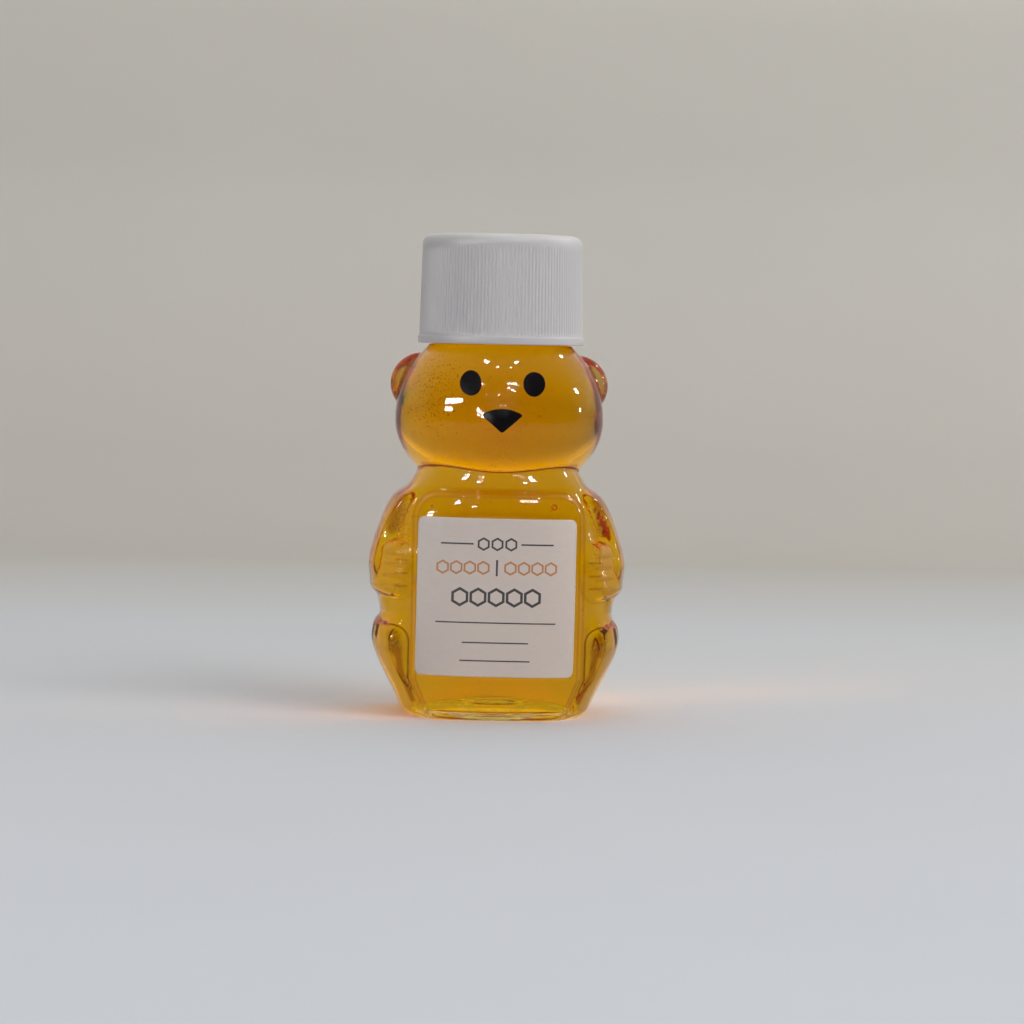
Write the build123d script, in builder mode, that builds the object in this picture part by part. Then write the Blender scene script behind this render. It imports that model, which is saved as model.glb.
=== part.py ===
from build123d import *
from math import cos, hypot, pi, radians, sin, sqrt
import os

os.makedirs("parts", exist_ok=True)

# Honey bear bottle, 2 oz: millimetres, Z up, face towards -Y, origin at the middle of the base.
# x is the bear's side to side, y its front to back, z its height.

# Trunk, from the base to the throat under the head
throat_height = 39.6
trunk_half_width = 18.8
trunk_half_depth = 13.9
throat_half_width = 12.9
throat_half_depth = 11.6
trunk_squareness = 3.0
throat_blend = 1.0
base_corner_radius = 1.3
# Shares of throat height and trunk half width
trunk_side_shares = ((0, 0.793), (0.253, 0.941), (0.429, 1), (0.732, 0.92), (0.914, 0.793))
# Shares of throat height, and of the step from throat to trunk half depth
trunk_front_shares = ((0, 1), (0.83, 1), (0.914, 0.68))

# Limbs: half width over the elbows, and shares of throat height and that half width
elbow_half_width = 20.9
limb_side_shares = (
    (0, 0.713),
    (0.116, 0.811),
    (0.318, 0.967),
    (0.419, 0.907),
    (0.614, 1),
    (0.77, 0.928),
    (0.894, 0.821),
    (0.949, 0.684),
)

# Head: an egg, round behind and flatter in front, with a muzzle, and two ears set towards the back
head_throat_rise = 8.4
head_neck_rise = 12.0
head_half_width = 17.0
head_front_depth = 15.2
head_back_depth = 17.0
head_drop = 12.4
muzzle_rise = 1.2
muzzle_half_width = 5.0
muzzle_half_height = 5.5
ear_offset = 12.6
ear_back = 4.0
ear_lift = 5.6
ear_half_width = 5.3
ear_half_depth = 3.0
ear_half_height = 5.1
ear_blend = 0.4

# Arms and legs: angles round the bottle from its front in degrees, and heights
arm_front_angle = 63.0
arm_top_angle = 55.0
hand_angle = 46.5
forearm_bottom = 19.2
forearm_top = 29.2
forearm_rise = 2.1
forearm_corner = 4.4
lap_height = 16.6
leg_angle = 52.5
leg_base_angle = 43.0
leg_bend_height = 6.5
leg_top = 15.8
shin_rise = 1.5
leg_corner = 4.0
leg_fade_height = 9.0
limb_middle_angle = 90.0
limb_back_spread = 40.0
limb_edge = 2.2
limb_union = 8
limb_squareness = 2.5
swell_power = 2.4

# Front panel, raised a little over the trunk
panel_half_width = 13.8
panel_drop = 2.9
panel_corner = 4.2
panel_rise = 0.4
panel_edge = 0.8
panel_foot_half_width = 11.0
panel_bend_height = 6.5

# Wall, base and honey
wall = 0.9
floor_thickness = 1.1
hollow_corner_radius = 1.4
push_up_radius = 10.4
push_up_rise = 1.3
push_up_shoulder_share = 0.74
gate_radius = 4.0
gate_rise = 0.3
honey_neck_rise = 1.8

# Neck finish, 24 mm, with one and a half turns of thread
neck_radius = 10.8
neck_wall = 1.55
neck_height = 15.7
neck_shoulder = 0.87
shoulder_step = 0.3
rim_rounding = 0.4
thread_pitch = 3.175
thread_turns = 1.5
thread_rise = 1.1
thread_foot_share = 0.5
thread_crest_share = 0.28
thread_sink = 0.2
thread_lead = 2.4
thread_clearance = 0.3

# Cap and its liner
cap_gap = 0.3
cap_skirt_thickness = 1.15
cap_taper = 0.3
cap_bead_width = 0.18
cap_bead_height = 1.0
cap_bead_rounding = 0.3
cap_top_thickness = 1.3
cap_edge_radius = 1.6
rib_count = 140
rib_depth = 0.18
rib_gap = 0.2
liner_thickness = 1.0
liner_clearance = 0.3

# Label and ink prints
label_size = 25.4
label_bottom = 7.2
label_corner = 1.0
film_thickness = 0.15
eye_offset = 5.05
eye_lift = 6.1
eye_half_width = 1.8
eye_half_height = 2.0
nose_lift = 0.4
nose_half_width = 3.4
nose_corner_rise = 0.75
nose_top_rise = 1.7
nose_tip_drop = 2.0
nose_corner_radius = 0.4
print_reach = 30.0
overrun = 1.0

# Sampling of the moulded form
section_points = 96
section_step = 1.1
slope_step = 0.5
corner_turns = (0, 30, 60)

head_middle = throat_height + head_throat_rise
neck_base_height = head_middle + head_neck_rise
rim_height = neck_base_height + neck_height
hollow_top = neck_base_height + shoulder_step
honey_level = neck_base_height + honey_neck_rise
neck_bore_radius = neck_radius - neck_wall
collar_radius = neck_radius + neck_shoulder
ear_height = head_middle + ear_lift
panel_top = throat_height - panel_drop
thread_start = rim_height - thread_lead - thread_pitch * thread_turns
cap_bottom = neck_base_height + cap_gap
cap_top = rim_height + liner_thickness + cap_top_thickness
cap_bore_radius = neck_radius + thread_rise + thread_clearance
cap_skirt_radius = cap_bore_radius + cap_skirt_thickness
cap_bead_radius = cap_skirt_radius + cap_bead_width
cap_top_radius = cap_skirt_radius - cap_taper
label_middle = label_bottom + label_size / 2
girth_per_degree = trunk_half_width * pi / 180


def side_points(shares, half_width):
    """Half widths by height, closed in over the throat."""
    points = [(height * throat_height, width * half_width) for height, width in shares]
    return points + [(throat_height, throat_half_width), (head_middle, 0)]


trunk_side = side_points(trunk_side_shares, trunk_half_width)
limb_side = side_points(limb_side_shares, elbow_half_width)
trunk_front = [
    (height * throat_height, throat_half_depth + (trunk_half_depth - throat_half_depth) * share)
    for height, share in trunk_front_shares + ((1, 0),)
] + [(head_middle, 0)]


def curve_through(points, place):
    """Value at a place on a smooth curve that never overshoots its points."""
    if place <= points[0][0]:
        return points[0][1]
    if place >= points[-1][0]:
        return points[-1][1]
    pairs = list(zip(points, points[1:]))
    secants = [(high[1] - low[1]) / (high[0] - low[0]) for low, high in pairs]
    slopes = [secants[0]]
    for before, after in zip(secants, secants[1:]):
        turning = before * after <= 0
        slopes.append(0 if turning else 2 * before * after / (before + after))
    slopes.append(secants[-1])
    index = next(i for i, (low, high) in enumerate(pairs) if place <= high[0])
    (start, first), (end, last) = pairs[index]
    span = end - start
    t = (place - start) / span
    ends = (1 + 2 * t) * (1 - t) ** 2 * first + t * t * (3 - 2 * t) * last
    return ends + span * t * (1 - t) * ((1 - t) * slopes[index] - t * slopes[index + 1])


def smooth_max(one, other, blend):
    return (one + other + hypot(one - other, blend)) / 2


def ease(share):
    share = min(max(share, 0), 1)
    return share * share * (3 - 2 * share)


def swell(share):
    """Rounded edge of a limb: 0 at its border, 1 from one edge width inside."""
    share = min(max(share, 0), 1)
    return 1 - (1 - share) ** swell_power


def inside_box(across, up, half_width, low, high, corner):
    """Depth inside the border of a box with round corners, negative outside."""
    beyond_x = abs(across) - half_width + corner
    beyond_z = abs(up - (low + high) / 2) - (high - low) / 2 + corner
    outer = hypot(max(beyond_x, 0), max(beyond_z, 0))
    return corner - outer - min(max(beyond_x, beyond_z), 0)


def corner_inset(lift, corner):
    """How far a round bottom corner draws in at this lift over the bottom."""
    return corner - corner * sqrt(1 - (1 - min(max(lift / corner, 0), 1)) ** 2)


def trunk_radius(angle, height):
    """Flattened oval of the trunk, rounded in at the base."""
    side = curve_through(trunk_side, height)
    front = curve_through(trunk_front, height)
    if min(side, front) <= 0:
        return 0
    sine = abs(sin(angle)) / side
    cosine = abs(cos(angle)) / front
    radius = (sine**trunk_squareness + cosine**trunk_squareness) ** (-1 / trunk_squareness)
    return radius - corner_inset(height, base_corner_radius)


def side_rise(turn, height, front, middle, reach):
    """Rise that fills the side outline, from a front angle to a rounded back edge."""
    rise = max(curve_through(limb_side, height) - curve_through(trunk_side, height), 0)
    share = min(abs(height - middle) / reach, 1)
    spread = limb_back_spread * (1 - share**limb_squareness) ** (1 / limb_squareness)
    inside = min(turn - front, limb_middle_angle + spread - turn)
    return rise * swell(inside * girth_per_degree / limb_edge)


def pad_rise(turn, height, front, low, high, corner):
    """Pillow with round corners, from a front angle to the back of the limbs."""
    half = (limb_middle_angle + limb_back_spread - front) / 2
    across = (turn - front - half) * girth_per_degree
    depth = inside_box(across, height, half * girth_per_degree, low, high, corner)
    return swell(depth / limb_edge)


def arm_rise(turn, height):
    """Upper arm down the side, and forearm from the elbow to the panel."""
    upper = ease((height - forearm_top) / (panel_top - forearm_top))
    front = arm_front_angle + (arm_top_angle - arm_front_angle) * upper
    reach = (throat_height - lap_height) / 2
    forearm = pad_rise(turn, height, hand_angle, forearm_bottom, forearm_top, forearm_corner)
    return side_rise(turn, height, front, lap_height + reach, reach), forearm * forearm_rise


def leg_rise(turn, height):
    """Leg beside the panel, its outer side and its front."""
    front = leg_base_angle + (leg_angle - leg_base_angle) * min(height / leg_bend_height, 1)
    shin = pad_rise(turn, height, front, -leg_top, leg_top, leg_corner)
    return side_rise(turn, height, front, 0, lap_height), shin * shin_rise * ease(height / leg_fade_height)


def limb_rise(angle, height):
    """How far arms and legs stand out of the trunk."""
    turn = abs(angle) * 180 / pi
    side, front = arm_rise(turn, height) if height > lap_height else leg_rise(turn, height)
    return (side**limb_union + front**limb_union) ** (1 / limb_union)


def panel_relief(across, height):
    """Raised front panel with round upper corners, drawn in towards the base."""
    bend = min(height / panel_bend_height, 1)
    half_width = panel_foot_half_width + (panel_half_width - panel_foot_half_width) * bend
    depth = inside_box(across, height, half_width, -panel_top, panel_top, panel_corner)
    return panel_rise * ease(depth / panel_edge)


def head_radius(angle, height):
    """Egg of the head, running up into the round foot of the neck."""
    offset = height - head_middle

    def half_size(size):
        top = head_neck_rise / sqrt(1 - (collar_radius / size) ** 2)
        share = 1 - (offset / (top if offset > 0 else head_drop)) ** 2
        return size * sqrt(max(share, 0))

    side = half_size(head_half_width)
    front = half_size(head_front_depth if cos(angle) > 0 else head_back_depth)
    if side <= 0:
        return 0
    return 1 / hypot(sin(angle) / side, cos(angle) / front)


def ear_radius(angle, height):
    """Far side of the ear's egg along this ray from the axis."""
    share = 1 - ((height - ear_height) / ear_half_height) ** 2
    if share <= 0:
        return 0
    sine = abs(sin(angle)) / ear_half_width
    cosine = -cos(angle) / ear_half_depth
    across, along = ear_offset / ear_half_width, ear_back / ear_half_depth
    square = sine**2 + cosine**2
    middle = sine * across + cosine * along
    inner = middle**2 - square * (across**2 + along**2 - share)
    if inner <= 0 or middle <= 0:
        return 0
    return (middle + sqrt(inner)) / square


def muzzle_relief(across, height):
    far = hypot(across / muzzle_half_width, (height - head_middle) / muzzle_half_height)
    return muzzle_rise * (1 - min(far, 1) ** 2) ** 2


def body_radius(angle, height):
    """Outer radius of the moulded bear, with angle 0 at its front."""
    trunk = trunk_radius(angle, height) + limb_rise(angle, height)
    head = head_radius(angle, height)
    radius = smooth_max(trunk, head, throat_blend) if height < head_middle else head
    ear = ear_radius(angle, height)
    if ear > 0:
        radius = smooth_max(radius, ear, ear_blend)
    if cos(angle) > 0:
        across = radius * sin(angle)
        radius += panel_relief(across, height) + muzzle_relief(across, height)
    return radius


def hollow_radius(angle, height):
    """Inner radius, one wall inside the outer face measured square to it."""
    radius = body_radius(angle, height)
    rise = body_radius(angle, height + slope_step) - body_radius(angle, height - slope_step)
    side_step = slope_step / radius
    turn = body_radius(angle + side_step, height) - body_radius(angle - side_step, height)
    inset = corner_inset(height - floor_thickness, hollow_corner_radius)
    return radius - inset - wall * hypot(1, rise / (slope_step * 2), turn / (slope_step * 2))


def outline(radius_at, height, film=0):
    """Face across the form at one height, its seam at the back."""
    places = []
    for index in range(section_points):
        angle = 2 * pi * index / section_points - pi
        radius = radius_at(angle, height) + film
        places.append((radius * sin(angle), -radius * cos(angle)))
    marks = [index / section_points for index in range(section_points + 1)]
    with BuildSketch(Plane.XY.offset(height)) as face:
        with BuildLine():
            add(Edge.make_spline(places, periodic=True, parameters=marks))
        make_face()
    return face.sketch


def levels(bottom, corner, top):
    """Heights of the sections: close round the bottom corner, even above it."""
    low = bottom + corner
    count = round((top - low) / section_step)
    steps = [low + (top - low) * index / count for index in range(count + 1)]
    return [bottom + corner * (1 - cos(radians(turn))) for turn in corner_turns] + steps


def push_up(growth, lift):
    """Half profile of the hollow under the base, grown and lifted for its inner face."""
    low = lift - overrun
    rim = push_up_radius + growth
    crown = push_up_rise + lift
    gate = gate_radius + growth
    shoulder = ((rim + gate) / 2, lift + push_up_rise * push_up_shoulder_share)
    with BuildSketch(Plane.XZ) as profile:
        with BuildLine():
            Polyline((gate, crown), (gate, crown + gate_rise), (0, crown + gate_rise), (0, low))
            Polyline((0, low), (rim, low), (rim, lift))
            ThreePointArc((rim, lift), shoulder, (gate, crown))
        make_face()
    return profile.sketch


def thread_profile(start, reach):
    """Trapezoid of a thread ridge at its start on +X, reaching out or in."""
    foot = thread_pitch * thread_foot_share / 2
    crest = thread_pitch * thread_crest_share / 2
    sink = -thread_sink * reach
    rise = thread_rise * reach
    with BuildSketch(Plane(start, x_dir=(1, 0, 0), z_dir=(0, 1, 0))) as profile:
        with BuildLine():
            Polyline((sink, foot), (rise, crest), (rise, -crest), (sink, -foot), close=True)
        make_face()
    return profile.sketch


def rib_ring(radius, height):
    """Star outline of the ribbed skirt: crest and groove by turns."""
    places = []
    for index in range(rib_count * 2):
        angle = pi * index / rib_count
        reach = radius - rib_depth * (index % 2)
        places.append((reach * cos(angle), reach * sin(angle)))
    with BuildSketch(Plane.XY.offset(height)) as face:
        with BuildLine():
            Polyline(*places, close=True)
        make_face()
    return face.sketch


# Closed outer form of the bear up to the foot of the neck
with BuildPart() as body_form:
    heights = levels(0, base_corner_radius, neck_base_height)
    loft([outline(body_radius, height) for height in heights], ruled=True)

# The same form one film thicker, from which label and prints are cut
with BuildPart() as coat:
    loft([outline(body_radius, height, film_thickness) for height in heights], ruled=True)

# Hollow inside the bear and its neck
with BuildPart() as hollow:
    heights = levels(floor_thickness, hollow_corner_radius, hollow_top)
    loft([outline(hollow_radius, height) for height in heights], ruled=True)
    revolve(push_up(wall, floor_thickness), axis=Axis.Z, mode=Mode.SUBTRACT)
    with BuildSketch(Plane.XY.offset(neck_base_height - overrun)):
        Circle(neck_bore_radius)
    extrude(amount=neck_height + overrun * 2)

# Bottle: one moulded shell with its threaded neck
with BuildPart() as bottle_shell:
    add(body_form.part)
    with BuildSketch(Plane.XY.offset(neck_base_height - overrun)):
        Circle(neck_radius)
    extrude(amount=neck_height + overrun)
    fillet(bottle_shell.edges().group_by(Axis.Z)[-1], rim_rounding)
    add(hollow.part, mode=Mode.SUBTRACT)
    revolve(push_up(0, 0), axis=Axis.Z, mode=Mode.SUBTRACT)
    with BuildLine():
        Helix(thread_pitch, thread_pitch * thread_turns, neck_radius, (0, 0, thread_start))
    sweep(thread_profile((neck_radius, 0, thread_start), 1), is_frenet=True)

bottle_shell.part.label = "bottle_shell"
export_step(bottle_shell.part, "parts/bottle_shell.step")

# Honey up into the neck
with BuildPart() as honey_fill:
    add(hollow.part)
    split(bisect_by=Plane.XY.offset(honey_level), keep=Keep.BOTTOM)

honey_fill.part.label = "honey_fill"
export_step(honey_fill.part, "parts/honey_fill.step")

# Foam disc that seals on the rim
with BuildPart() as cap_liner:
    with BuildSketch(Plane.XY.offset(rim_height)):
        Circle(cap_bore_radius - liner_clearance)
    extrude(amount=liner_thickness)

cap_liner.part.label = "cap_liner"
export_step(cap_liner.part, "parts/cap_liner.step")

# Screw cap: bead, ribbed skirt and rounded top, hollow, with a thread inside
with BuildPart() as screw_cap:
    rib_bottom = cap_bottom + cap_bead_height
    rib_top = cap_top - cap_edge_radius - rib_gap
    with BuildSketch(Plane.XY.offset(cap_bottom)):
        Circle(cap_bead_radius)
    extrude(amount=cap_bead_height)
    fillet(screw_cap.edges().filter_by(GeomType.CIRCLE), cap_bead_rounding)
    loft([rib_ring(cap_skirt_radius, rib_bottom), rib_ring(cap_top_radius, rib_top)], ruled=True)
    with BuildSketch(Plane.XY.offset(rib_top)):
        Circle(cap_top_radius)
    extrude(amount=cap_top - rib_top)
    fillet(screw_cap.edges().group_by(Axis.Z)[-1], cap_edge_radius)
    with BuildSketch(Plane.XY.offset(cap_bottom)):
        Circle(cap_bore_radius)
    extrude(amount=rim_height + liner_thickness - cap_bottom, mode=Mode.SUBTRACT)
    cap_thread_start = thread_start - thread_pitch / 2
    with BuildLine():
        Helix(thread_pitch, thread_pitch * thread_turns, cap_bore_radius, (0, 0, cap_thread_start))
    sweep(thread_profile((cap_bore_radius, 0, cap_thread_start), -1), is_frenet=True)

screw_cap.part.label = "screw_cap"
export_step(screw_cap.part, "parts/screw_cap.step")

# Paper label on the front panel
with BuildPart() as front_label:
    with BuildSketch(Plane.XZ):
        with Locations((0, label_middle)):
            RectangleRounded(label_size, label_size, label_corner)
    extrude(amount=print_reach)
    add(coat.part, mode=Mode.INTERSECT)
    add(body_form.part, mode=Mode.SUBTRACT)

front_label.part.label = "front_label"
export_step(front_label.part, "parts/front_label.step")

# Printed eyes, one on each side of the face
for name, side in (("left_eye", 1), ("right_eye", -1)):
    with BuildPart() as eye:
        with BuildSketch(Plane.XZ):
            with Locations((side * eye_offset, head_middle + eye_lift)):
                Ellipse(eye_half_width, eye_half_height)
        extrude(amount=print_reach)
        add(coat.part, mode=Mode.INTERSECT)
        add(body_form.part, mode=Mode.SUBTRACT)
    eye.part.label = name
    export_step(eye.part, f"parts/{name}.step")

# Printed nose: arched on top, pointed below
with BuildPart() as nose:
    with BuildSketch(Plane.XZ) as nose_face:
        with BuildLine():
            nose_height = head_middle + nose_lift
            corner_height = nose_height + nose_corner_rise
            left = (-nose_half_width, corner_height)
            right = (nose_half_width, corner_height)
            ThreePointArc(left, (0, nose_height + nose_top_rise), right)
            Polyline(right, (0, nose_height - nose_tip_drop), left)
        make_face()
        fillet(nose_face.vertices(), nose_corner_radius)
    extrude(amount=print_reach)
    add(coat.part, mode=Mode.INTERSECT)
    add(body_form.part, mode=Mode.SUBTRACT)

nose.part.label = "nose"
export_step(nose.part, "parts/nose.step")
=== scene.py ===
import random
from math import cos, pi, radians, sin

import bmesh
import bpy
import numpy as np
from mathutils import Matrix, Vector


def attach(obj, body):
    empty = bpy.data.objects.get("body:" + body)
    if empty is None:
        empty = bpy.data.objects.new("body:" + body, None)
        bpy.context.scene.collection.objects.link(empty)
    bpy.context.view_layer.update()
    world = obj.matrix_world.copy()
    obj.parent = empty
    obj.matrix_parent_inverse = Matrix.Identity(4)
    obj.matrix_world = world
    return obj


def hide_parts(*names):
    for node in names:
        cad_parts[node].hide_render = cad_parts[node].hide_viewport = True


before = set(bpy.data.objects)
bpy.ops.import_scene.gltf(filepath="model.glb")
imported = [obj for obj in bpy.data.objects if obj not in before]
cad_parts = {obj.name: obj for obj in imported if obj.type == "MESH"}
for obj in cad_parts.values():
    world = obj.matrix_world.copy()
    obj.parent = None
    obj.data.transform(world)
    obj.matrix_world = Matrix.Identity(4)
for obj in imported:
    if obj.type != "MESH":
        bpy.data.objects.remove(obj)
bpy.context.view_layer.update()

# Honey bear bottle. Lengths are millimetres until a mesh is made; angle 0 is the bear's front, at -Y.
mm = 0.001

# Trunk, throat and head: the same values as in the solids
throat_height = 39.6
trunk_half_width = 18.8
trunk_half_depth = 13.9
throat_half_width = 12.9
throat_half_depth = 11.6
trunk_squareness = 3.0
throat_blend = 1.0
base_corner_radius = 1.3
trunk_side_shares = ((0, 0.793), (0.253, 0.941), (0.429, 1), (0.732, 0.92), (0.914, 0.793))
trunk_front_shares = ((0, 1), (0.83, 1), (0.914, 0.68), (1, 0))
elbow_half_width = 20.9
limb_side_shares = (
    (0, 0.713), (0.116, 0.811), (0.318, 0.967), (0.419, 0.907),
    (0.614, 1), (0.77, 0.928), (0.894, 0.821), (0.949, 0.684),
)
head_middle = 48.0
head_neck_rise = 12.0
head_half_width = 17.0
head_front_depth = 15.2
head_back_depth = 17.0
head_drop = 12.4
muzzle_rise = 1.2
muzzle_half_width = 5.0
muzzle_half_height = 5.5
ear_offset = 12.6
ear_back = 4.0
ear_height = 53.6
ear_half_width = 5.3
ear_half_depth = 3.0
ear_half_height = 5.1
ear_blend = 0.4

# Arms and legs
arm_front_angle = 63.0
arm_top_angle = 55.0
hand_angle = 46.5
forearm_bottom = 19.2
forearm_top = 29.2
forearm_rise = 2.1
forearm_corner = 4.4
lap_height = 16.6
leg_angle = 52.5
leg_base_angle = 43.0
leg_bend_height = 6.5
leg_top = 15.8
shin_rise = 1.5
leg_corner = 4.0
leg_fade_height = 9.0
limb_middle_angle = 90.0
limb_back_spread = 40.0
limb_edge = 2.2
limb_union = 8
limb_squareness = 2.5
swell_power = 2.4
girth_per_degree = trunk_half_width * pi / 180

# Front panel
panel_top = 36.7
panel_half_width = 13.8
panel_corner = 4.2
panel_rise = 0.4
panel_edge = 0.8
panel_foot_half_width = 11.0
panel_bend_height = 6.5

# Wall, base, neck and thread
wall = 0.9
floor_thickness = 1.1
hollow_corner_radius = 1.4
push_up_radius = 10.4
push_up_rise = 1.3
gate_radius = 4.0
gate_rise = 0.3
neck_base = 60.0
neck_step = 0.25
neck_radius = 10.8
collar_fillet = 0.87
throat_top = 61
neck_bore_radius = 9.25
rim_height = 75.7
rim_rounding = 0.4
honey_level = 61.8
honey_dish = 0.35
honey_dish_share = 0.25
honey_overlap = 0.03
thread_pitch = 3.175
thread_turns = 1.5
thread_start = 68.5375
thread_rise = 1.1
thread_foot = 0.79
thread_crest = 0.44
thread_fade = 0.08

# Cap and liner
cap_bottom = 60.3
cap_top = 78.0
cap_ceiling = 76.7
cap_bore_radius = 12.2
cap_skirt_radius = 13.35
cap_top_radius = 13.05
cap_bead_radius = 13.53
cap_bead_height = 1.25
cap_edge_radius = 1.6
rib_count = 140
rib_depth = 0.16
rib_sharpness = 1.4
points_per_rib = 6
lip_rounding = 0.3
bead_foot_rounding = 0.25
bead_top_rounding = 0.15
liner_radius = 11.9
liner_thickness = 1.0
liner_rounding = 0.15
liner_points = 160

# Fine relief that the mould leaves
finger_grooves = (20.9, 22.5, 24.3, 26.1)
finger_groove_width = 0.42
finger_depth = 0.3
finger_start_angle = hand_angle + 1
finger_end_angle = 66.0
finger_start_fade = 3
finger_end_fade = 7
toe_grooves = (69.0, 79.0, 90.0)
toe_groove_width = 1.5
toe_depth = 0.32
toe_bottom = 9.0
toe_bottom_fade = 4
toe_top = 16.2
toe_top_fade = 1.6
border_depth = 0.14
border_half_width = 0.28
seam_rise = 0.05
seam_half_width = 0.16

# Columns of the moulded form, closer together at the front
columns = 288
front_crowding = 0.35


def curve_through(shares, across, along, places):
    """Values at places on a smooth curve that never overshoots its points."""
    x = np.array([share[0] * along for share in shares])
    y = np.array([share[1] * across for share in shares])
    secants = np.diff(y) / np.diff(x)
    before, after = secants[:-1], secants[1:]
    total = np.where(before * after > 0, before + after, 1)
    slopes = np.concatenate(([secants[0]], 2 * before * after / total * (before * after > 0), [secants[-1]]))
    places = np.clip(places, x[0], x[-1])
    low = np.clip(np.searchsorted(x, places) - 1, 0, len(x) - 2)
    span = x[low + 1] - x[low]
    t = (places - x[low]) / span
    ends = (1 + 2 * t) * (1 - t) ** 2 * y[low] + t * t * (3 - 2 * t) * y[low + 1]
    return ends + span * t * (1 - t) * ((1 - t) * slopes[low] - t * slopes[low + 1])


def ease(share):
    share = np.clip(share, 0, 1)
    return share * share * (3 - 2 * share)


def swell(share):
    return 1 - (1 - np.clip(share, 0, 1)) ** swell_power


def smooth_max(one, other, blend):
    return (one + other + np.hypot(one - other, blend)) / 2


def inside_box(across, up, half_width, low, high, corner):
    """Depth inside the border of a box with round corners, negative outside."""
    beyond_x = np.abs(across) - half_width + corner
    beyond_z = np.abs(up - (low + high) / 2) - (high - low) / 2 + corner
    outer = np.hypot(np.maximum(beyond_x, 0), np.maximum(beyond_z, 0))
    return corner - outer - np.minimum(np.maximum(beyond_x, beyond_z), 0)


def corner_inset(lift, corner):
    return corner - corner * np.sqrt(1 - (1 - np.clip(lift / corner, 0, 1)) ** 2)


throat_share = (1, throat_half_width / trunk_half_width)
trunk_side = trunk_side_shares + (throat_share, (head_middle / throat_height, 0))
limb_side = limb_side_shares + ((1, throat_half_width / elbow_half_width), (head_middle / throat_height, 0))
depth_step = trunk_half_depth - throat_half_depth
trunk_front = tuple(
    (height, (throat_half_depth + depth_step * share) / trunk_half_depth)
    for height, share in trunk_front_shares
) + ((head_middle / throat_height, 0),)


def side_of_trunk(height):
    return curve_through(trunk_side, trunk_half_width, throat_height, height)


def trunk_radius(angle, height):
    """Flattened oval of the trunk, rounded in at the base."""
    side = np.maximum(side_of_trunk(height), 1e-3)
    front = np.maximum(curve_through(trunk_front, trunk_half_depth, throat_height, height), 1e-3)
    sine = np.abs(np.sin(angle)) / side
    cosine = np.abs(np.cos(angle)) / front
    radius = (sine**trunk_squareness + cosine**trunk_squareness) ** (-1 / trunk_squareness)
    return radius - corner_inset(height, base_corner_radius)


def side_rise(turn, height, front, middle, reach):
    """Rise that fills the side outline, from a front angle to a rounded back edge."""
    limb = curve_through(limb_side, elbow_half_width, throat_height, height)
    rise = np.maximum(limb - side_of_trunk(height), 0)
    share = np.minimum(np.abs(height - middle) / reach, 1)
    spread = limb_back_spread * (1 - share**limb_squareness) ** (1 / limb_squareness)
    inside = np.minimum(turn - front, limb_middle_angle + spread - turn)
    return rise * swell(inside * girth_per_degree / limb_edge)


def pad_rise(turn, height, front, low, high, corner):
    """Pillow with round corners, from a front angle to the back of the limbs."""
    half = (limb_middle_angle + limb_back_spread - front) / 2
    across = (turn - front - half) * girth_per_degree
    return swell(inside_box(across, height, half * girth_per_degree, low, high, corner) / limb_edge)


def limb_rise(angle, height):
    """How far arms and legs stand out of the trunk."""
    turn = np.abs(angle) * 180 / pi
    upper = ease((height - forearm_top) / (panel_top - forearm_top))
    arm_front = arm_front_angle + (arm_top_angle - arm_front_angle) * upper
    reach = (throat_height - lap_height) / 2
    arm_side = side_rise(turn, height, arm_front, lap_height + reach, reach)
    forearm = pad_rise(turn, height, hand_angle, forearm_bottom, forearm_top, forearm_corner) * forearm_rise
    leg_front = leg_base_angle + (leg_angle - leg_base_angle) * np.minimum(height / leg_bend_height, 1)
    leg_side = side_rise(turn, height, leg_front, 0, lap_height)
    shin = pad_rise(turn, height, leg_front, -leg_top, leg_top, leg_corner) * shin_rise
    shin = shin * ease(height / leg_fade_height)
    arm = (arm_side**limb_union + forearm**limb_union) ** (1 / limb_union)
    leg = (leg_side**limb_union + shin**limb_union) ** (1 / limb_union)
    return np.where(height > lap_height, arm, leg)


def panel_depth(across, height):
    """Depth inside the border of the front panel."""
    bend = np.minimum(height / panel_bend_height, 1)
    half_width = panel_foot_half_width + (panel_half_width - panel_foot_half_width) * bend
    return inside_box(across, height, half_width, -panel_top, panel_top, panel_corner)


def head_radius(angle, height):
    """Egg of the head, running up into the round foot of the neck."""
    offset = height - head_middle
    collar = neck_radius + collar_fillet

    def half_size(size):
        top = head_neck_rise / np.sqrt(1 - (collar / size) ** 2)
        share = 1 - (offset / np.where(offset > 0, top, head_drop)) ** 2
        return np.maximum(size * np.sqrt(np.maximum(share, 0)), 1e-3)

    side = half_size(head_half_width)
    front = half_size(np.where(np.cos(angle) > 0, head_front_depth, head_back_depth))
    return 1 / np.hypot(np.sin(angle) / side, np.cos(angle) / front)


def ear_radius(angle, height):
    """Far side of the ear's egg along this ray from the axis."""
    share = 1 - ((height - ear_height) / ear_half_height) ** 2
    sine = np.abs(np.sin(angle)) / ear_half_width
    cosine = -np.cos(angle) / ear_half_depth
    across, along = ear_offset / ear_half_width, ear_back / ear_half_depth
    square = sine**2 + cosine**2
    middle = sine * across + cosine * along
    inner = middle**2 - square * (across**2 + along**2 - share)
    far = (middle + np.sqrt(np.maximum(inner, 0))) / square
    return np.where((share > 0) & (inner > 0) & (middle > 0), far, 0)


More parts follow.
